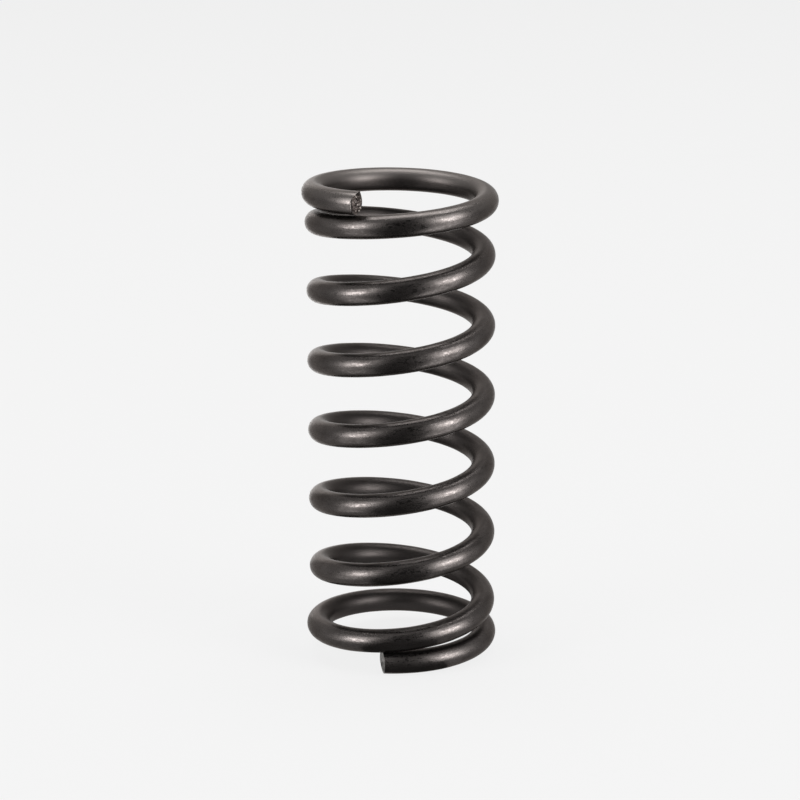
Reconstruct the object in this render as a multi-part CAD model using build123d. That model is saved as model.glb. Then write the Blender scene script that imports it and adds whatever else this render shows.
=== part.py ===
from build123d import *
import math
import os

# Compression spring wound from one length of round steel wire, closed at both ends and not ground.
# Units are millimetres. The coil axis is +Z, and the origin is on that axis in the plane that the
# lower end stands on. Angles are in degrees about +Z, from +X. The winding climbs to the right
# when it is seen from the side, as a right-hand thread does.

# Driving sizes
WIRE_DIAMETER = 1.2
END_OUTER_DIAMETER = 10.0       # over the closed turns at each end
BODY_OUTER_DIAMETER = 9.6       # over the open turns, which are a touch smaller
FREE_LENGTH = 25.0              # seat to seat, with no load
TOTAL_TURNS = 7.958             # from one cut tip to the other
BOTTOM_TIP_ANGLE = -104.6       # where the lower cut tip lies, seen from above
BOTTOM_TIP_TUCK = 0.35          # how far the lower tip is bent in towards the coil axis
BOTTOM_TUCK_TURNS = 0.5         # turns from the lower tip over which it is bent in
BOTTOM_CUT_LEAN = 25.0          # how far the lower cut is turned from square, towards the outside
TIP_STRAIGHT = 0.1              # straight wire on the short side of the lower cut
TIP_CLEARANCE = 0.03            # between a tip and the turn that it is closed on to
BOTTOM_RAMP_START = 225 / 360   # turns from the lower tip to where the pitch begins to open
BOTTOM_RAMP_END = 470 / 360     # turns from the lower tip to where it has its full value
TOP_RAMP_START = 95 / 360       # the same two at the upper end
TOP_RAMP_END = 580 / 360
ARCS_PER_TURN = 12              # tangent arcs that the centreline is drawn with

# Worked out from them
WIRE_RADIUS = WIRE_DIAMETER / 2
END_MEAN_RADIUS = END_OUTER_DIAMETER / 2 - WIRE_RADIUS
BODY_MEAN_RADIUS = BODY_OUTER_DIAMETER / 2 - WIRE_RADIUS
HALF_TURNS = TOTAL_TURNS / 2
CUT_REACH = WIRE_RADIUS * math.tan(math.radians(BOTTOM_CUT_LEAN))  # slant across half the wire
TIP_HALF_LENGTH = TIP_STRAIGHT + CUT_REACH  # of the straight tip, to the middle of its cut
TINY_TURN = 1e-4                # step over which a direction along the centreline is taken


def eased(x):
    """A step from 0 to 1 with smooth ends."""
    x = min(max(x, 0.0), 1.0)
    return 3 * x**2 - 2 * x**3


class ClosedEnd:
    """One closed end, where the pitch opens smoothly with the distance from its tip, in turns.

    The tip may be bent in towards the coil axis by a tuck.
    """

    def __init__(self, ramp_start, ramp_end, tuck=0.0, tuck_turns=1.0):
        self.ramp_start = ramp_start
        self.ramp_turns = ramp_end - ramp_start
        self.tuck = tuck
        self.tuck_turns = tuck_turns
        self.first = self.ramp_sum(1)
        self.half = self.ramp_sum(HALF_TURNS)
        self.closed_share = (HALF_TURNS - self.half) / (1 - self.first)
        self.closed_rise = self.climb_of_first_turn()

    def ramp_sum(self, turns):
        """Share of the way from the closed end to the open body, summed from the tip, in turns."""
        x = min(max((turns - self.ramp_start) / self.ramp_turns, 0.0), 1.0)
        past_ramp = max(turns - self.ramp_start - self.ramp_turns, 0.0)
        return self.ramp_turns * (x**3 - x**4 / 2) + past_ramp

    def radius(self, turns):
        """Distance of the centreline from the coil axis at a distance from this tip."""
        opening = eased((turns - self.ramp_start) / self.ramp_turns)
        bend = self.tuck * (1 - eased(turns / self.tuck_turns))
        return END_MEAN_RADIUS + (BODY_MEAN_RADIUS - END_MEAN_RADIUS) * opening - bend

    def climb_of_first_turn(self):
        """Climb that leaves TIP_CLEARANCE between the tip and the turn beside it."""
        step_outwards = self.radius(1) - self.radius(0)
        return math.sqrt((WIRE_DIAMETER + TIP_CLEARANCE) ** 2 - step_outwards**2)

    def rise(self, turns, body_pitch):
        """How far the centreline has climbed at a distance from this tip.

        The pitch at the tip is the one that brings the first turn up by closed_rise.
        """
        closed_pitch = (self.closed_rise - body_pitch * self.first) / (1 - self.first)
        return closed_pitch * turns + (body_pitch - closed_pitch) * self.ramp_sum(turns)


BOTTOM_END = ClosedEnd(BOTTOM_RAMP_START, BOTTOM_RAMP_END, BOTTOM_TIP_TUCK, BOTTOM_TUCK_TURNS)
TOP_END = ClosedEnd(TOP_RAMP_START, TOP_RAMP_END)


def pitch_of_body():
    """Pitch of the open turns, so that the two halves together climb from one tip to the other."""
    ends = (BOTTOM_END, TOP_END)
    closed = sum(end.closed_rise * end.closed_share for end in ends)
    per_pitch = sum(end.half - end.first * end.closed_share for end in ends)
    return (FREE_LENGTH - WIRE_DIAMETER - closed) / per_pitch


BODY_PITCH = pitch_of_body()


def centreline(turns):
    """Point on the wire's centreline at a distance from the bottom tip."""
    lower = turns <= HALF_TURNS
    end = BOTTOM_END if lower else TOP_END
    from_tip = turns if lower else TOTAL_TURNS - turns
    height = WIRE_RADIUS + end.rise(from_tip, BODY_PITCH)
    radius = end.radius(from_tip)
    angle = math.radians(BOTTOM_TIP_ANGLE + 360 * turns)
    return Vector(
        radius * math.cos(angle),
        radius * math.sin(angle),
        height if lower else FREE_LENGTH - height,
    )


def coil_path(first_turn):
    """The centreline from first_turn to the top tip, as arcs that are tangent to each other."""
    turns = TOTAL_TURNS - first_turn
    count = math.ceil(turns * ARCS_PER_TURN)
    points = [centreline(first_turn + turns * i / count) for i in range(count + 1)]
    direction = centreline(first_turn + TINY_TURN) - centreline(first_turn)
    arcs = []
    for start, end in zip(points, points[1:]):
        arcs.append(Edge.make_tangent_arc(start, direction, end))
        direction = arcs[-1] % 1
    return Wire(arcs)


def slanted_tip(start):
    """The straight end of the wire, past the plane start, with the slant that the shears left."""
    face = (start * Circle(WIRE_RADIUS)).face()
    stub = Solid.extrude(face, start.z_dir * 2 * TIP_HALF_LENGTH)
    cut = Plane(
        origin=start.origin + start.z_dir * TIP_HALF_LENGTH,
        z_dir=start.z_dir.rotate(Axis.Z, BOTTOM_CUT_LEAN),
    )
    return stub.split(cut, keep=Keep.BOTTOM)


def wire_spring():
    """The whole spring: one round section carried along the coil, and its sheared lower tip."""
    path = coil_path(TIP_HALF_LENGTH / (2 * math.pi * BOTTOM_END.radius(0)))
    start = Plane(origin=path @ 0, z_dir=path % 0)
    coil = Solid.sweep((start * Circle(WIRE_RADIUS)).face(), path)
    return coil.fuse(slanted_tip(Plane(origin=start.origin, z_dir=-start.z_dir)))


os.makedirs("parts", exist_ok=True)
spring = wire_spring()
export_step(spring, "parts/coil_spring.step")
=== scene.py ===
import logging
import math
import random
from bisect import bisect_left
from dataclasses import dataclass
from enum import Enum

import bmesh
import bpy
from mathutils import Matrix, Vector, noise


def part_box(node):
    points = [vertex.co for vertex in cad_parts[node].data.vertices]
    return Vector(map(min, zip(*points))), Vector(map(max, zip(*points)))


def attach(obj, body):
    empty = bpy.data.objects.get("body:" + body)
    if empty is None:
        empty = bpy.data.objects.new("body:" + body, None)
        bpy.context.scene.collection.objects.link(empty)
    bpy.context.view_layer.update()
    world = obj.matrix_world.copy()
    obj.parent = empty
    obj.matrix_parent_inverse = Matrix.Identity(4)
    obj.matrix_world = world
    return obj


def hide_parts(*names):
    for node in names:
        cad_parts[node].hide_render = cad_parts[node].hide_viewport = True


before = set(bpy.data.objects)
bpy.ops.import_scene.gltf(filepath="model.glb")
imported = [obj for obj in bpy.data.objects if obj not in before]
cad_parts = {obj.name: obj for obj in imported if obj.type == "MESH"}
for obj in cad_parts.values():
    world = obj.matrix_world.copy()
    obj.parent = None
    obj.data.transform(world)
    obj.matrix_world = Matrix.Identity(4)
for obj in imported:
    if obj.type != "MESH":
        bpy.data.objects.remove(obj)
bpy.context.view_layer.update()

# Lengths are in metres and angles in degrees unless a name says otherwise. The coil axis is +Z, the
# origin is on it in the plane that the spring stands on, and the camera looks along +Y.
LOG = logging.getLogger("spring")
MM = 0.001
COIL_NODE = "coil_spring"
BODY = "root"
WIRE_COORDINATES = "wire_coordinates"  # across the wire in x and y and along it in z, in millimetres
PHOTO_SIDE = 800                       # pixels along each side of the photograph
SENSOR = 36.0                          # camera sensor width, in millimetres


def eased(x: float) -> float:
    """A step from 0 to 1 with smooth ends."""
    x = min(max(x, 0.0), 1.0)
    return 3 * x**2 - 2 * x**3


class Tip(Enum):
    """The two sheared ends of the wire. The value is the way that the cut faces along the wire."""

    LOWER = -1
    UPPER = 1


@dataclass(frozen=True)
class ClosedEnd:
    """One closed end, where the wire opens from its tip to the body, over distances in turns.

    The pitch and the radius change over the ramp. The tip itself is bent in towards the axis.
    """

    ramp_start: float
    ramp_end: float
    tuck: float = 0.0
    tuck_turns: float = 0.5

    def ramp(self, turns: float) -> float:
        """Share of the way from the closed end to the open body, with smooth ends."""
        return eased((turns - self.ramp_start) / (self.ramp_end - self.ramp_start))

    def ramp_sum(self, turns: float) -> float:
        """The ramp summed from the tip, in turns."""
        x = min(max((turns - self.ramp_start) / (self.ramp_end - self.ramp_start), 0.0), 1.0)
        return (self.ramp_end - self.ramp_start) * (x**3 - x**4 / 2) + max(turns - self.ramp_end, 0.0)

    def bend(self, turns: float) -> float:
        """How far the wire is bent in at a distance from the tip."""
        return self.tuck * (1 - eased(turns / self.tuck_turns))


@dataclass(frozen=True)
class Station:
    """One place along the wire.

    Its matrix has the wire's centre as origin, x pointing away from the coil axis and z along the
    wire.
    """

    along: float
    matrix: Matrix


@dataclass(frozen=True)
class Ring:
    """The points around the wire at one station."""

    station: Station
    points: list[bmesh.types.BMVert]


@dataclass(frozen=True)
class Winding:
    """The line that the middle of the wire follows."""

    free_length: float
    end_outer_diameter: float
    body_outer_diameter: float = 9.6 * MM
    wire_diameter: float = 1.2 * MM
    total_turns: float = 7.958
    bottom_tip_angle: float = -104.6
    tip_clearance: float = 0.03 * MM
    bottom: ClosedEnd = ClosedEnd(225 / 360, 470 / 360, tuck=0.35 * MM)
    top: ClosedEnd = ClosedEnd(95 / 360, 580 / 360)

    @property
    def wire_radius(self) -> float:
        """Half of the wire's diameter."""
        return self.wire_diameter / 2

    def radius(self, end: ClosedEnd, turns: float) -> float:
        """Distance of the wire's middle from the coil axis.

        Args:
            end: The end that the tip belongs to.
            turns: Distance from that tip.

        Returns:
            The distance, in metres.
        """
        closed = self.end_outer_diameter / 2 - self.wire_radius
        body = self.body_outer_diameter / 2 - self.wire_radius
        return closed + (body - closed) * end.ramp(turns) - end.bend(turns)

    def closed_rise(self, end: ClosedEnd) -> float:
        """Climb of the first turn, which leaves the tip its clearance."""
        step = self.radius(end, 1.0) - self.radius(end, 0.0)
        return math.sqrt((self.wire_diameter + self.tip_clearance) ** 2 - step**2)

    def body_pitch(self) -> float:
        """Pitch of the open turns, so that the two halves climb from one tip to the other.

        Returns:
            The pitch, in metres per turn.
        """
        half = self.total_turns / 2
        closed, per_pitch = 0.0, 0.0
        for end in (self.bottom, self.top):
            first, all_of_it = end.ramp_sum(1), end.ramp_sum(half)
            closed_share = (half - all_of_it) / (1 - first)
            closed += self.closed_rise(end) * closed_share
            per_pitch += all_of_it - first * closed_share
        return (self.free_length - self.wire_diameter - closed) / per_pitch

    def rise(self, end: ClosedEnd, turns: float, body_pitch: float) -> float:
        """How far the wire has climbed at a distance from one tip.

        Args:
            end: The end that the tip belongs to.
            turns: Distance from that tip.
            body_pitch: Pitch of the open turns.

        Returns:
            The climb, in metres.
        """
        first = end.ramp_sum(1)
        closed_pitch = (self.closed_rise(end) - body_pitch * first) / (1 - first)
        return closed_pitch * turns + (body_pitch - closed_pitch) * end.ramp_sum(turns)

    def centre(self, turns: float, body_pitch: float) -> Vector:
        """Point on the middle of the wire.

        Args:
            turns: Distance from the lower tip.
            body_pitch: Pitch of the open turns.

        Returns:
            The point, in metres.
        """
        lower = turns <= self.total_turns / 2
        end = self.bottom if lower else self.top
        from_tip = turns if lower else self.total_turns - turns
        height = self.wire_radius + self.rise(end, from_tip, body_pitch)
        radius = self.radius(end, from_tip)
        angle = math.radians(self.bottom_tip_angle + 360 * turns)
        level = height if lower else self.free_length - height
        return Vector((radius * math.cos(angle), radius * math.sin(angle), level))

    def stations(self, per_turn: int, tip_steps: tuple[float, ...]) -> list[Station]:
        """Places along the wire, closer together beside both tips.

        Args:
            per_turn: Evenly spaced places in each turn.
            tip_steps: Distances from each tip of the places that are added there.

        Returns:
            The places from the lower tip to the upper one.
        """
        pitch = self.body_pitch()
        turn_length = math.pi * (self.end_outer_diameter - self.wire_diameter)
        tips = [step / turn_length for step in tip_steps]
        count = math.ceil(self.total_turns * per_turn)
        even = [self.total_turns * i / count for i in range(count + 1)]
        inner = [t for t in even if tips[-1] < t < self.total_turns - tips[-1]]
        turns = [0.0, *tips, *inner, *(self.total_turns - t for t in reversed(tips)), self.total_turns]
        small = 1e-4
        along, last, found = 0.0, None, []
        for t in turns:
            centre = self.centre(t, pitch)
            before, after = max(t - small, 0.0), min(t + small, self.total_turns)
            forward = (self.centre(after, pitch) - self.centre(before, pitch)).normalized()
            outward = Vector((centre.x, centre.y, 0.0))
            outward = (outward - outward.project(forward)).normalized()
            side = forward.cross(outward)
            matrix = Matrix((outward, side, forward)).transposed().to_4x4()
            matrix.translation = centre
            along += (centre - last).length if last else 0.0
            last = centre
            found.append(Station(along, matrix))
        return found


@dataclass(frozen=True)
class WirePlace:
    """Sockets that say where a point lies on the wire, in millimetres."""

    whole: bpy.types.NodeSocket      # the three below, as one vector
    outward: bpy.types.NodeSocket    # from the middle of the wire, away from the coil axis
    across: bpy.types.NodeSocket     # from the middle of the wire, down the coil
    along: bpy.types.NodeSocket      # from the lower tip


@dataclass(frozen=True)
class Pattern:
    """Cloudy noise on the wire."""

    scale: float          # cells of noise in each millimetre across the wire
    detail: float         # how many finer layers are added
    stretch: float = 1.0  # scale along the wire, as a share of that across it


class Tree:
    """Shorthand for the nodes of one material or world."""

    def __init__(self, tree: bpy.types.NodeTree) -> None:
        """Takes an empty node tree."""
        self.tree = tree

    def node(self, kind: str, **inputs: object) -> bpy.types.Node:
        """Adds a node.

        Args:
            kind: The node's type name in Blender.
            inputs: Values or sockets for its inputs. An underscore in a name stands for a space.

        Returns:
            The new node.
        """
        made = self.tree.nodes.new(kind)
        for name, value in inputs.items():
            self.feed(made.inputs[name.replace("_", " ")], value)
        return made

    def feed(self, socket: bpy.types.NodeSocket, value: object) -> None:
        """Links a socket to an input, or sets the input to a plain value.

        Args:
            socket: The input.
            value: The socket or the plain value.
        """
        if isinstance(value, bpy.types.NodeSocket):
            self.tree.links.new(value, socket)
        else:
            socket.default_value = value

    def wire_place(self) -> WirePlace:
        """Adds the nodes that read where a point lies on the wire.

        Returns:
            Their sockets.
        """
        read = self.node("ShaderNodeAttribute")
        read.attribute_name = WIRE_COORDINATES
        whole = read.outputs["Vector"]
        parts = self.node("ShaderNodeSeparateXYZ", Vector=whole)
        return WirePlace(whole, *(parts.outputs[axis] for axis in "XYZ"))

    def noise(self, place: WirePlace, pattern: Pattern) -> bpy.types.NodeSocket:
        """Adds the nodes of a pattern.

        Args:
            place: Where the point lies on the wire.
            pattern: The pattern.

        Returns:
            The socket that holds the noise, from 0 to 1.
        """
        drawn = self.node("ShaderNodeMapping", Vector=place.whole, Scale=(1.0, 1.0, pattern.stretch))
        cloudy = self.node("ShaderNodeTexNoise", Vector=drawn.outputs["Vector"])
        self.feed(cloudy.inputs["Scale"], pattern.scale)
        self.feed(cloudy.inputs["Detail"], pattern.detail)
        return cloudy.outputs[0]

    def remap(
        self, value: bpy.types.NodeSocket, source: tuple[float, float], target: tuple[float, float]
    ) -> bpy.types.NodeSocket:
        """A value carried from one range to another and held within it.

        Args:
            value: The value to carry over.
            source: Range that it comes from.
            target: Range that it goes to.

        Returns:
            The socket that holds the result.
        """
        made = self.node("ShaderNodeMapRange", Value=value)
        made.inputs["From Min"].default_value, made.inputs["From Max"].default_value = source
        made.inputs["To Min"].default_value, made.inputs["To Max"].default_value = target
        return made.outputs["Result"]

    def share(
        self, value: bpy.types.NodeSocket, source: tuple[float, float]
    ) -> bpy.types.NodeSocket:
        """How far a value lies along a range, from 0 to 1."""
        return self.remap(value, source, (0.0, 1.0))

    def combine(self, operation: str, first: object, second: object) -> bpy.types.NodeSocket:
        """One sum on two values or sockets.

        Args:
            operation: The sum's name in Blender.
            first: Its first value or socket.
            second: Its second value or socket.

        Returns:
            The socket that holds the result.
        """
        made = self.tree.nodes.new("ShaderNodeMath")
        made.operation = operation
        self.feed(made.inputs[0], first)
        self.feed(made.inputs[1], second)
        return made.outputs[0]

    def blend(self, factor: object, first: object, second: object) -> bpy.types.NodeSocket:
        """A colour between two colours.

        Args:
            factor: Share of the second colour.
            first: Colour or socket at 0.
            second: Colour or socket at 1.

        Returns:
            The socket that holds the colour.
        """
        made = self.tree.nodes.new("ShaderNodeMix")
        made.data_type = "RGBA"
        self.feed(made.inputs[0], factor)
        self.feed(made.inputs[6], first)
        self.feed(made.inputs[7], second)
        return made.outputs[2]

    def between(self, factor: object, first: object, second: object) -> bpy.types.NodeSocket:
        """A value between two values.

        Args:
            factor: Share of the second value.
            first: Value or socket at 0.
            second: Value or socket at 1.

        Returns:
            The socket that holds the value.
        """
        made = self.tree.nodes.new("ShaderNodeMix")
        self.feed(made.inputs[0], factor)
        self.feed(made.inputs[2], first)
        self.feed(made.inputs[3], second)
        return made.outputs[0]


def empty_material(name: str) -> tuple[bpy.types.Material, Tree]:
    """A new material with no nodes.

    Args:
        name: The material's name.

    Returns:
        The material and its tree.
    """
    material = bpy.data.materials.new(name)
    material.use_nodes = True
    material.node_tree.nodes.clear()
    return material, Tree(material.node_tree)


@dataclass(frozen=True)
class OxideFinish:
    """Drawn spring wire under a dark brown-black oxide, satin with smoother flecks.

    The side of the wire that faces the coil axis is darker, with painted shade, and duller than the
    outer side. The flanks and the first turn are a little duller. The last turn's inner side is paler,
    as painted light from above, and its upper side is paler still, as painted light. A range of
    places, in millimetres, runs from where a look begins to where it is full.
    """

    dark: tuple[float, float, float, float] = (0.032, 0.0284, 0.0271, 1.0)
    light: tuple[float, float, float, float] = (0.069, 0.0622, 0.0598, 1.0)
    # Painted shade darkens the inner side; on the last turn it is lighter, as painted light from
    # above.
    inner: tuple[float, float, float, float] = (0.031, 0.0275, 0.0263, 1.0)
    lit_inner_of_last_turn: tuple[float, float, float, float] = (0.035, 0.0305, 0.0288, 1.0)
    # Painted light from above: a paler colour on the upper side of the last turn.
    painted_top_light: tuple[float, float, float, float] = (0.089, 0.081, 0.077, 1.0)
    edge: tuple[float, float, float, float] = (0.63, 0.605, 0.59, 1.0)
    metallic: float = 1.0
    roughness: tuple[float, float] = (0.32, 0.17)  # between the flecks and on them
    first_turn_roughness: tuple[float, float] = (0.38, 0.22)
    flank_roughness: float = 0.36
    inner_roughness: float = 0.47
    unshaded: tuple[float, float] = (-0.45, 0.05)    # outward, from the painted shade of the inner side to the outer look
    least_unshaded: float = 0.25                     # share of the outer look that the inner side has
    flank: tuple[float, float] = (0.38, 0.10)      # outward
    top_light_side: tuple[float, float] = (-0.08, -0.46)  # across, from where the painted light on the last turn's upper side begins to where it is full
    first_turn: tuple[float, float] = (25.0, 19.0)   # along
    last_turn: tuple[float, float] = (186.0, 194.0)  # along
    fleck_share: float = 0.4                       # of the tone, and the rest is in wider clouds
    tone: tuple[float, float] = (0.34, 0.66)       # noise from dark to light
    fleck: tuple[float, float] = (0.50, 0.68)      # noise from beside a fleck to its middle
    flecks: Pattern = Pattern(11.0, 2.0, stretch=0.55)
    clouds: Pattern = Pattern(1.6, 3.0, stretch=0.45)
    lines: Pattern = Pattern(20.0, 2.0, stretch=0.06)
    line_relief: float = 0.0035 * MM
    fleck_relief: float = 0.002 * MM

    def material(self) -> bpy.types.Material:
        """Makes the finish.

        Returns:
            The finish as a Blender material.
        """
        material, tree = empty_material("oxide_coated_wire")
        place = tree.wire_place()
        # Share of the outer look; the inner side gets painted shade and a duller finish.
        unshaded = tree.remap(place.outward, self.unshaded, (self.least_unshaded, 1.0))
        flecks = tree.noise(place, self.flecks)
        surface = tree.node(
            "ShaderNodeBsdfPrincipled",
            Base_Color=self.colour(tree, place, unshaded, flecks),
            Metallic=self.metallic,
            Roughness=self.dullness(tree, place, unshaded, flecks),
            Normal=self.relief(tree, place, flecks),
            Specular_Tint=self.edge,
        )
        tree.node("ShaderNodeOutputMaterial", Surface=surface.outputs[0])
        return material

    def colour(
        self, tree: Tree, place: WirePlace, unshaded: bpy.types.NodeSocket, flecks: bpy.types.NodeSocket
    ) -> bpy.types.NodeSocket:
        """Tones of the oxide, with painted shade on the inner side and painted light on the last turn.

        Args:
            tree: The material's nodes.
            place: Where the point lies on the wire.
            unshaded: Share of the outer look.
            flecks: Noise of the flecks.

        Returns:
            The socket that holds the colour.
        """
        clouds = tree.noise(place, self.clouds)
        last = tree.share(place.along, self.last_turn)
        tone = tree.between(self.fleck_share, clouds, flecks)
        outer = tree.blend(tree.share(tone, self.tone), self.dark, self.light)
        # Painted shade on the inner side, lighter on the last turn as painted light from above.
        inner = tree.blend(last, self.inner, self.lit_inner_of_last_turn)
        # Painted light on the upper side of the last turn.
        top_lit = tree.combine("MULTIPLY", last, tree.share(place.across, self.top_light_side))
        return tree.blend(top_lit, tree.blend(unshaded, inner, outer), self.painted_top_light)

    def dullness(
        self, tree: Tree, place: WirePlace, unshaded: bpy.types.NodeSocket, flecks: bpy.types.NodeSocket
    ) -> bpy.types.NodeSocket:
        """Roughness of the oxide.

        Args:
            tree: The material's nodes.
            place: Where the point lies on the wire.
            unshaded: Share of the outer look.
            flecks: Noise of the flecks.

        Returns:
            The socket that holds the roughness.
        """
        body = tree.remap(flecks, self.fleck, self.roughness)
        first_turn = tree.remap(flecks, self.fleck, self.first_turn_roughness)
        outer = tree.between(tree.share(place.along, self.first_turn), body, first_turn)
        outer = tree.between(tree.share(place.outward, self.flank), outer, self.flank_roughness)
        return tree.between(unshaded, self.inner_roughness, outer)

    def relief(
        self, tree: Tree, place: WirePlace, flecks: bpy.types.NodeSocket
    ) -> bpy.types.NodeSocket:
        """Drawing lines and flecks, which are too fine for the mesh.

        Args:
            tree: The material's nodes.
            place: Where the point lies on the wire.
            flecks: Noise of the flecks.

        Returns:
            The socket that holds the normal.
        """
        lines = tree.noise(place, self.lines)
        flecked = tree.node("ShaderNodeBump", Height=flecks, Distance=self.fleck_relief, Strength=1.0)
        grooved = tree.node("ShaderNodeBump", Height=lines, Distance=self.line_relief, Strength=1.0)
        tree.feed(grooved.inputs["Normal"], flecked.outputs["Normal"])
        return grooved.outputs["Normal"]


@dataclass(frozen=True)
class ShearedFinish:
    """Steel on a cut face: dark brown where it broke, with a few bright chips and a shiny rim.

    The rim where the blade entered is lighter, partly burnished steel and partly a painted highlight.
    The hollow behind it is darkened with painted shade, the darkest part. Places are outward from the
    middle of the wire, in millimetres.
    """

    name: str
    dark: tuple[float, float, float, float] = (0.018, 0.0147, 0.0135, 1.0)
    light: tuple[float, float, float, float] = (0.074, 0.0625, 0.0575, 1.0)
    # Bright steel of the chips, also used on the rim, where it is partly a painted highlight.
    chip_and_rim_highlight: tuple[float, float, float, float] = (0.36, 0.325, 0.305, 1.0)
    metallic: float = 1.0
    roughness: tuple[float, float] = (0.42, 0.60)
    relief: float = 0.006 * MM
    grain_noise: Pattern = Pattern(5.0, 3.0)
    chip_noise: Pattern = Pattern(6.0, 1.0)
    grain: tuple[float, float] = (0.38, 0.62)   # grain noise from dark to light
    chips: tuple[float, float] = (0.62, 0.68)   # chip noise from beside a chip to the chip
    duller: tuple[float, float] = (0.3, 0.7)    # chip noise from the least rough to the roughest
    rim: tuple[float, float] = (0.49, 0.55)     # places from where the rim, partly a painted highlight, begins to where it is full
    hollow: tuple[float, float] = (0.38, 0.14)  # places from where the painted shade of the hollow is darkest to its end
    hollow_light: float = 0.15                  # share of the grain's light tone that the painted shade of the hollow keeps

    def material(self) -> bpy.types.Material:
        """Makes the finish.

        Returns:
            The finish as a Blender material.
        """
        material, tree = empty_material(self.name)
        place = tree.wire_place()
        grain = tree.noise(place, self.grain_noise)
        chips = tree.noise(place, self.chip_noise)
        # Painted shade: the hollow behind the rim is darkened.
        lit = tree.remap(place.outward, self.hollow, (self.hollow_light, 1.0))
        broken = tree.combine("MULTIPLY", tree.share(grain, self.grain), lit)
        # The rim is lightened towards the chips' colour, partly burnished steel and partly a painted
        # highlight.
        rim = tree.share(place.outward, self.rim)
        bright = tree.combine("MAXIMUM", tree.share(chips, self.chips), rim)
        bump = tree.node("ShaderNodeBump", Height=chips, Distance=self.relief, Strength=1.0)
        surface = tree.node(
            "ShaderNodeBsdfPrincipled",
            Base_Color=tree.blend(bright, tree.blend(broken, self.dark, self.light), self.chip_and_rim_highlight),
            Metallic=self.metallic,
            Roughness=tree.remap(chips, self.duller, self.roughness),
            Normal=bump.outputs["Normal"],
        )
        tree.node("ShaderNodeOutputMaterial", Surface=surface.outputs[0])
        return material


@dataclass(frozen=True)
class ShearCut:
    """How the shears left one end of the wire.

    The side that the blade entered is rolled over, and the rest of the face is broken.
    """

    tip: Tip
    lean: float                      # turn of the cut from square, towards the outside
    entry_angle: float               # where the blade entered, about the wire, 0 at the outside
    roll: float                      # radius of the rolled edge where the blade entered
    edge: float = 0.02 * MM          # radius of the edge elsewhere
    step: float = 0.07 * MM          # depth of the hollow behind the rolled edge
    burr: float = 0.0                # height of the burr that was dragged out of the rim
    burr_angle: float = -76.0        # where it stands highest, about the wire
    burr_fades_in: float = 0.40 * MM
    break_relief: float = 0.05 * MM  # height of the broken grain
    lean_fades_in: float = 0.9 * MM  # length of wire over which the lean dies out
    face_radius: float = 0.6 * MM
    # The next four are shares of the face's radius, counted towards the side that the blade entered.
    hollow_place: float = 0.52
    hollow_width: float = 0.20
    hollow_bow: float = 0.25
    broken: tuple[float, float] = (0.45, 0.05)  # from smooth to fully broken
    grain_scale: float = 5.0         # of the noise, across the face's radius
    grain_place: float = 11.0        # where in the noise the grain is taken
    grain_dimension: float = 0.7     # the higher it is, the flatter the finer layers
    grain_lacunarity: float = 2.1    # scale of each layer against the one before it
    grain_layers: int = 4
    crumbs: float = 0.35             # height of the crumbs on the grain, as a share of its own
    crumb_scale: float = 3.1         # of their noise, against the grain's

    def slant(self, from_tip: float) -> float:
        """Slide along the wire for each unit outward, which dies out away from the tip."""
        fade = max(0.0, 1.0 - from_tip / self.lean_fades_in) ** 2
        return math.tan(math.radians(self.lean)) * fade

    def burr_height(self, angle: float, from_tip: float = 0.0) -> float:
        """How far the burr carries the wire's surface past the tip."""
        facing = max(0.0, math.cos(angle - math.radians(self.burr_angle)))
        return self.burr * facing**3 * max(0.0, 1.0 - from_tip / self.burr_fades_in)

    def edge_radius(self, angle: float) -> float:
        """Radius of the rounded edge at an angle about the wire."""
        facing = max(0.0, math.cos(angle - math.radians(self.entry_angle)))
        return self.edge + self.roll * facing**1.5

    def draw_in(self, angle: float, from_tip: float) -> float:
        """How far the wire's surface is drawn in beside the cut.

        Args:
            angle: Place about the wire, 0 at the outside of the coil.
            from_tip: Distance from the cut.

        Returns:
            The distance, in metres.
        """
        radius = self.edge_radius(angle)
        missing = max(radius - from_tip, 0.0)
        return radius - math.sqrt(max(radius**2 - missing**2, 0.0))

    def face_height(self, x: float, y: float) -> float:
        """Height of the cut face along the wire.

        Args:
            x: Distance outward from the middle of the wire.
            y: Distance across it.

        Returns:
            The height from the tip's station, in metres, positive along the wire.
        """
        turn = math.radians(self.entry_angle)
        across = (x * math.cos(turn) + y * math.sin(turn)) / self.face_radius
        side = (y * math.cos(turn) - x * math.sin(turn)) / self.face_radius
        behind = across - self.hollow_place + self.hollow_bow * side**2
        hollow = math.exp(-((behind / self.hollow_width) ** 2))
        smooth_from, broken_from = self.broken
        broken = min(max((smooth_from - across) / (smooth_from - broken_from), 0.0), 1.0)
        scale = self.grain_scale
        place = Vector((across * scale, side * scale, self.grain_place * self.tip.value))
        grain = noise.fractal(
            place, self.grain_dimension, self.grain_lacunarity, self.grain_layers
        ) + self.crumbs * noise.noise(place * self.crumb_scale)
        inside = 1.0 - min(across**2 + side**2, 1.0) ** 6
        relief = (self.break_relief * grain * broken - self.step * hollow) * inside
        relief += self.burr_height(math.atan2(y, x)) * min(across**2 + side**2, 1.0) ** 3
        return self.tip.value * (relief - x * math.tan(math.radians(self.lean)))


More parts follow.
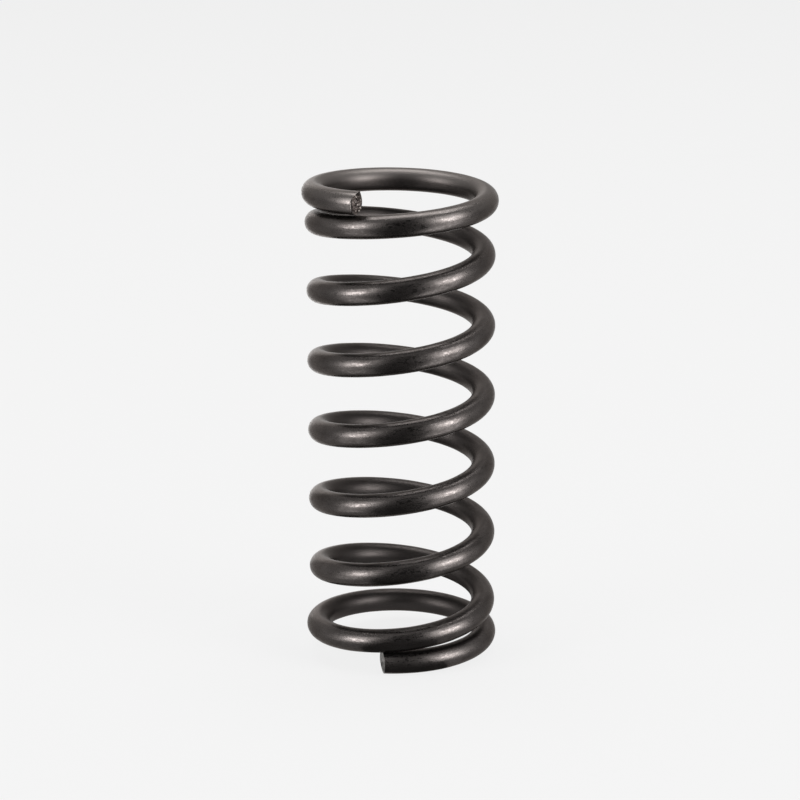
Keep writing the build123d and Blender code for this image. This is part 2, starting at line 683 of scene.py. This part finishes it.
@dataclass
class SpringWire:
    """The whole spring: one length of wire, coiled, with a sheared face at each tip."""

    winding: Winding
    around: int = 64                 # faces around the wire
    per_turn: int = 150              # faces along each turn
    face_rings: int = 22             # rings of faces in each cut face
    lid_rings: float = 0.6           # radius of the lid in their middle, in widths of a ring
    weld: float = 1e-4 * MM          # points nearer to each other than this become one
    waviness: float = 0.004 * MM     # height of the slow unevenness of the drawn surface
    waviness_scale: float = 0.8      # of its noise, across the wire's radius
    waviness_fades_in: float = 1.0 * MM
    nicks: int = 46
    nick_seed: int = 12
    nick_span: tuple[float, float] = (0.02, 0.98)  # shares of the wire's length between which they lie
    nick_reach: tuple[float, float] = (0.10 * MM, 0.22 * MM)
    nick_depth: tuple[float, float] = (0.006 * MM, 0.014 * MM)
    cuts: tuple[ShearCut, ShearCut] = (
        ShearCut(Tip.LOWER, lean=25.0, entry_angle=180.0, roll=0.05 * MM, step=0.02 * MM),
        ShearCut(
            Tip.UPPER,
            lean=0.0,
            entry_angle=0.0,
            roll=0.0,
            edge=0.015 * MM,
            burr=0.22 * MM,
            break_relief=0.09 * MM,
        ),
    )
    tip_steps: tuple[float, ...] = tuple(
        step * MM for step in (0.005, 0.015, 0.03, 0.05, 0.075, 0.105, 0.14, 0.18)
    )

    def build(
        self, finish: OxideFinish, lower_face: ShearedFinish, upper_face: ShearedFinish
    ) -> bpy.types.Object:
        """Makes the wire and dresses it.

        Args:
            finish: Finish of the drawn surface.
            lower_face: Finish of the cut face at the lower tip.
            upper_face: Finish of the cut face at the upper tip.

        Returns:
            The finished object.
        """
        mesh = bmesh.new()
        layer = mesh.verts.layers.float_vector.new(WIRE_COORDINATES)
        stations = self.winding.stations(self.per_turn, self.tip_steps)
        rings = self.roll_wire(mesh, layer, stations)
        self.press_nicks(rings, layer)
        bmesh.ops.remove_doubles(mesh, verts=mesh.verts, dist=self.weld)
        for slot, (cut, station) in enumerate(zip(self.cuts, (stations[0], stations[-1])), start=1):
            self.close_tip(mesh, layer, station, cut, slot)
        bmesh.ops.recalc_face_normals(mesh, faces=mesh.faces)
        for face in mesh.faces:
            face.smooth = True
        data = bpy.data.meshes.new("coil_wire")
        mesh.to_mesh(data)
        mesh.free()
        for dressing in (finish, lower_face, upper_face):
            data.materials.append(dressing.material())
        wire = bpy.data.objects.new("coil_wire", data)
        bpy.context.scene.collection.objects.link(wire)
        return wire

    def roll_wire(
        self, mesh: bmesh.types.BMesh, layer: bmesh.types.BMLayerItem, stations: list[Station]
    ) -> list[Ring]:
        """Rolls a grid into the coiled wire, open at both tips and along one seam.

        Args:
            mesh: The mesh to add to.
            layer: The layer for each point's place on the wire.
            stations: The places along the wire that have a ring of points.

        Returns:
            The ring of points at each station.
        """
        bmesh.ops.create_grid(mesh, x_segments=self.around, y_segments=len(stations) - 1, size=1.0)
        mesh.verts.ensure_lookup_table()
        columns = self.around + 1
        rings = []
        for row, station in enumerate(stations):
            points = mesh.verts[row * columns : (row + 1) * columns]
            for column, point in enumerate(points):
                angle = 2 * math.pi * column / self.around
                flat = Vector((math.cos(angle), math.sin(angle), 0.0)) * self.winding.wire_radius
                point[layer] = (flat + Vector((0.0, 0.0, station.along))) / MM
                point.co = station.matrix @ self.drawn(angle, station.along, stations[-1].along)
            rings.append(Ring(station, points))
        return rings

    def drawn(self, angle: float, along: float, length: float) -> Vector:
        """Point of the drawn surface, as its station sees it.

        Args:
            angle: Place about the wire, 0 at the outside of the coil.
            along: Distance from the lower tip.
            length: Length of the whole wire.

        Returns:
            The point, with the rolled edges and the slant of the cuts.
        """
        outward, side = math.cos(angle), math.sin(angle)
        place = Vector((outward, side, along / self.winding.wire_radius))
        fade = min(min(along, length - along) / self.waviness_fades_in, 1.0)
        wave = self.waviness * fade * noise.noise(place * self.waviness_scale)
        radius = self.winding.wire_radius + wave
        slide = 0.0
        for cut in self.cuts:
            from_tip = along if cut.tip is Tip.LOWER else length - along
            radius -= cut.draw_in(angle, from_tip)
            slide -= cut.tip.value * cut.slant(from_tip) * outward * self.winding.wire_radius
            slide += cut.tip.value * cut.burr_height(angle, from_tip)
        return Vector((radius * outward, radius * side, slide))

    def press_nicks(self, rings: list[Ring], layer: bmesh.types.BMLayerItem) -> None:
        """Presses small shallow nicks into the drawn surface.

        Args:
            rings: The rings of points along the wire.
            layer: The layer with each point's place on the wire.
        """
        chance = random.Random(self.nick_seed)
        places = [ring.station.along for ring in rings]
        for _ in range(self.nicks):
            along = chance.uniform(*self.nick_span) * places[-1]
            angle = chance.uniform(-math.pi, math.pi)
            reach = chance.uniform(*self.nick_reach)
            depth = chance.uniform(*self.nick_depth)
            flat = Vector((math.cos(angle), math.sin(angle), 0.0)) * self.winding.wire_radius
            middle = flat + Vector((0.0, 0.0, along))
            for ring in rings[bisect_left(places, along - reach) : bisect_left(places, along + reach)]:
                for point in ring.points:
                    gap = (point[layer] * MM - middle).length
                    if gap < reach:
                        inward = (ring.station.matrix.translation - point.co).normalized()
                        point.co += inward * depth * (1 - (gap / reach) ** 2) ** 2

    def close_tip(
        self,
        mesh: bmesh.types.BMesh,
        layer: bmesh.types.BMLayerItem,
        station: Station,
        cut: ShearCut,
        slot: int,
    ) -> None:
        """Closes one tip with its sheared face.

        Args:
            mesh: The mesh to add to.
            layer: The layer for each point's place on the wire.
            station: The station at the tip.
            cut: How the shears left this tip.
            slot: The material slot of its face.
        """
        to_wire = station.matrix.inverted()
        wire_faces = set(mesh.faces)
        near = 2 * self.winding.wire_radius
        ring = [
            edge
            for edge in mesh.edges
            if edge.is_boundary and (edge.verts[0].co - station.matrix.translation).length < near
        ]
        left = self.face_rings + self.lid_rings
        for _ in range(self.face_rings):
            made = bmesh.ops.extrude_edge_only(mesh, edges=ring)["geom"]
            points = {item for item in made if isinstance(item, bmesh.types.BMVert)}
            ring = [e for e in made if isinstance(e, bmesh.types.BMEdge) and points >= set(e.verts)]
            for point in points:
                x, y, _ = to_wire @ point.co
                x, y = x * (1 - 1 / left), y * (1 - 1 / left)
                point.co = station.matrix @ Vector((x, y, cut.face_height(x, y)))
            left -= 1
        lid = bmesh.ops.holes_fill(mesh, edges=ring, sides=self.around)["faces"]
        bmesh.ops.poke(mesh, faces=lid)
        face_points = set()
        for face in mesh.faces:
            if face not in wire_faces:
                face.material_index = slot
                face_points.update(face.verts)
        for point in face_points:
            if not any(face in wire_faces for face in point.link_faces):
                point[layer] = (to_wire @ point.co) / MM


@dataclass(frozen=True)
class View:
    """The camera that the photograph was taken with."""

    target: Vector
    distance: float = 149.973 * MM
    elevation: float = 15.085
    roll: float = -0.244
    focal_pixels: float = 2919.7
    target_pixel: tuple[float, float] = (401.36, 416.83)
    clip: tuple[float, float] = (0.005, 20.0)

    def place(self) -> bpy.types.Object:
        """Makes the camera and sets it as the scene's.

        Returns:
            The camera.
        """
        data = bpy.data.cameras.new("photo_camera")
        data.lens = self.focal_pixels * SENSOR / PHOTO_SIDE
        data.sensor_width = SENSOR
        data.clip_start, data.clip_end = self.clip
        camera = bpy.data.objects.new("photo_camera", data)
        bpy.context.scene.collection.objects.link(camera)
        rise = math.radians(self.elevation)
        back = Vector((0.0, -math.cos(rise), math.sin(rise)))
        facing = (-back).to_track_quat("-Z", "Y").to_matrix().to_4x4()
        right, down = (pixel - PHOTO_SIDE / 2 for pixel in self.target_pixel)
        aim = (
            Matrix.Rotation(math.atan(down / self.focal_pixels), 4, "X")
            @ Matrix.Rotation(math.atan(right / self.focal_pixels), 4, "Y")
            @ Matrix.Rotation(math.radians(self.roll), 4, "Z")
        )
        camera.matrix_world = Matrix.Translation(self.target + back * self.distance) @ facing @ aim
        bpy.context.scene.camera = camera
        return camera


@dataclass(frozen=True)
class SoftBox:
    """A rectangular soft lamp, aimed at the middle of the spring."""

    name: str
    azimuth: float      # from the camera's side, positive to its right
    elevation: float
    distance: float
    size: tuple[float, float]
    radiance: float     # brightness of its face

    def place(self, target: Vector) -> bpy.types.Object:
        """Makes the lamp.

        Args:
            target: The point that it is aimed at.

        Returns:
            The lamp.
        """
        data = bpy.data.lights.new(self.name, "AREA")
        data.shape = "RECTANGLE"
        data.size, data.size_y = self.size
        data.energy = self.radiance * math.pi * self.size[0] * self.size[1]
        lamp = bpy.data.objects.new(self.name, data)
        lamp.visible_camera = False
        bpy.context.scene.collection.objects.link(lamp)
        turn, rise = math.radians(self.azimuth), math.radians(self.elevation)
        level = math.cos(rise)
        back = Vector((math.sin(turn) * level, -math.cos(turn) * level, math.sin(rise)))
        lamp.matrix_world = Matrix.Translation(target + back * self.distance) @ (
            (-back).to_track_quat("-Z", "Y").to_matrix().to_4x4()
        )
        return lamp


@dataclass(frozen=True)
class MirroredCard:
    """A flat card that only darkens or lightens what the metal mirrors. The camera looks past it."""

    name: str
    azimuth: float      # from the camera's side, positive to its right
    distance: float     # from the coil axis
    height: float
    size: tuple[float, float]
    radiance: float     # brightness of its face
    tilt: float = 0.0   # from lying flat
    taper: float = 1.0  # width of the edge that is nearer to the spring, as a share of the other

    def place(self) -> bpy.types.Object:
        """Makes the card.

        Returns:
            The card.
        """
        mesh = bmesh.new()
        bmesh.ops.create_grid(mesh, x_segments=1, y_segments=1, size=0.5)
        bmesh.ops.scale(mesh, verts=mesh.verts, vec=(self.size[0], self.size[1], 1.0))
        bmesh.ops.scale(mesh, verts=[v for v in mesh.verts if v.co.y > 0], vec=(self.taper, 1.0, 1.0))
        data = bpy.data.meshes.new(self.name)
        mesh.to_mesh(data)
        mesh.free()
        material, tree = empty_material(self.name)
        face = tree.node("ShaderNodeEmission", Strength=self.radiance)
        tree.node("ShaderNodeOutputMaterial", Surface=face.outputs[0])
        data.materials.append(material)
        card = bpy.data.objects.new(self.name, data)
        bpy.context.scene.collection.objects.link(card)
        turn = math.radians(self.azimuth)
        card.location = (self.distance * math.sin(turn), -self.distance * math.cos(turn), self.height)
        card.rotation_euler = (math.radians(self.tilt), 0.0, turn)
        card.visible_camera = card.visible_diffuse = card.visible_shadow = False
        card.visible_transmission = card.visible_volume_scatter = False
        return card


@dataclass
class Studio:
    """A pale floor, a pale surround, soft lamps, and cards for the metal to mirror."""

    target: Vector
    pale: tuple[float, float, float, float] = (0.885, 0.885, 0.885, 1.0)
    floor_albedo: tuple[float, float, float, float] = (0.6, 0.6, 0.6, 1.0)
    floor_glow: float = 0.93
    floor_side: float = 4.0
    ambient: float = 0.38
    lamps: tuple[SoftBox, ...] = (
        SoftBox("left_soft_box", -61.0, 16.5, 0.40, (0.260, 0.400), 4.3),
        SoftBox("left_core", -59.0, 12.0, 0.38, (0.128, 0.160), 13.5),
        SoftBox("right_soft_box", 57.0, 17.5, 0.40, (0.300, 0.480), 4.8),
        SoftBox("right_core", 58.0, 13.0, 0.38, (0.148, 0.180), 16.0),
        SoftBox("top_soft_box", 180.0, 74.0, 0.30, (0.30, 0.15), 6.5),
    )
    cards: tuple[MirroredCard, ...] = (
        MirroredCard("black_card", 0.0, 0.20, 0.19, (0.18, 0.38), 0.09, tilt=90.0),
        MirroredCard("black_floor_card", 0.0, 0.10075, 0.0002, (0.26, 0.1985), 0.17, taper=0.006),
        MirroredCard("left_floor_card", -60.0, 0.086, 0.0003, (0.090, 0.148), 2.8, taper=0.08),
        MirroredCard("right_floor_card", 58.0, 0.086, 0.0003, (0.110, 0.148), 4.2, taper=0.08),
        MirroredCard("back_card", -168.0, 0.45, 0.13, (0.20, 0.26), 1.9, tilt=90.0),
        MirroredCard("back_floor_card", -168.0, 0.235, 0.0003, (0.19, 0.43), 1.9, taper=0.08),
    )

    def build(self) -> None:
        """Makes the floor, the surround, the lamps and the cards."""
        self.lay_floor()
        self.surround()
        for lamp in self.lamps:
            lamp.place(self.target)
        for card in self.cards:
            card.place()

    def seen_directly(self, tree: Tree) -> bpy.types.NodeSocket:
        """Tells rays from the camera, a reflection or a transmission from others.

        Args:
            tree: The nodes that ask.

        Returns:
            The socket that holds 1 for those rays and 0 for others.
        """
        path = tree.node("ShaderNodeLightPath")
        direct = tree.combine("MAXIMUM", path.outputs["Is Camera Ray"], path.outputs["Is Glossy Ray"])
        return tree.combine("MAXIMUM", direct, path.outputs["Is Transmission Ray"])

    def lay_floor(self) -> None:
        """Makes the floor, which keeps a soft share of the spring's shadow."""
        mesh = bmesh.new()
        bmesh.ops.create_grid(mesh, x_segments=4, y_segments=4, size=self.floor_side / 2)
        data = bpy.data.meshes.new("floor")
        mesh.to_mesh(data)
        mesh.free()
        material, tree = empty_material("pale_floor")
        matt = tree.node("ShaderNodeBsdfDiffuse", Color=self.floor_albedo)
        glow = tree.node("ShaderNodeEmission", Color=self.pale, Strength=1.0)
        share = tree.combine("MULTIPLY", self.seen_directly(tree), self.floor_glow)
        mixed = tree.node("ShaderNodeMixShader")
        tree.feed(mixed.inputs[0], share)
        tree.feed(mixed.inputs[1], matt.outputs[0])
        tree.feed(mixed.inputs[2], glow.outputs[0])
        tree.node("ShaderNodeOutputMaterial", Surface=mixed.outputs[0])
        data.materials.append(material)
        floor = bpy.data.objects.new("floor", data)
        bpy.context.scene.collection.objects.link(floor)

    def surround(self) -> None:
        """Makes the world: pale where it is seen or reflected, and a plain fill elsewhere."""
        world = bpy.data.worlds.new("studio")
        world.use_nodes = True
        world.node_tree.nodes.clear()
        tree = Tree(world.node_tree)
        fill = tuple(self.ambient for _ in range(3)) + (1.0,)
        colour = tree.blend(self.seen_directly(tree), fill, self.pale)
        backdrop = tree.node("ShaderNodeBackground", Color=colour, Strength=1.0)
        tree.node("ShaderNodeOutputWorld", Surface=backdrop.outputs[0])
        bpy.context.scene.world = world


def main() -> None:
    """Builds the spring, the studio and the camera."""
    logging.basicConfig(level=logging.INFO, format="%(name)s: %(message)s")
    low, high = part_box(COIL_NODE)
    winding = Winding(free_length=high[2] - low[2], end_outer_diameter=2 * max(-low[0], high[0]))
    # The lower face is paler and smoother. Its rim, partly a painted highlight, and its hollow,
    # darkened with painted shade, lie beyond the wire, so neither shows, and chips are rare.
    lower_face = ShearedFinish(
        "smooth_sheared_steel",
        dark=(0.10, 0.096, 0.092, 1.0),
        light=(0.26, 0.25, 0.24, 1.0),
        relief=0.0015 * MM,
        chips=(0.90, 0.96),
        rim=(0.7, 0.8),
        hollow=(0.8, 0.7),
    )
    wire = SpringWire(winding).build(OxideFinish(), lower_face, ShearedFinish("broken_steel"))
    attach(wire, BODY)
    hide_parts(COIL_NODE)
    LOG.info("%s: %d faces", wire.name, len(wire.data.polygons))
    target = Vector((0.0, 0.0, winding.free_length / 2))
    Studio(target).build()
    View(target).place()
    LOG.info("studio and camera placed")
    view = bpy.context.scene.view_settings
    view.view_transform = "Standard"


if __name__ == "__main__":
    main()
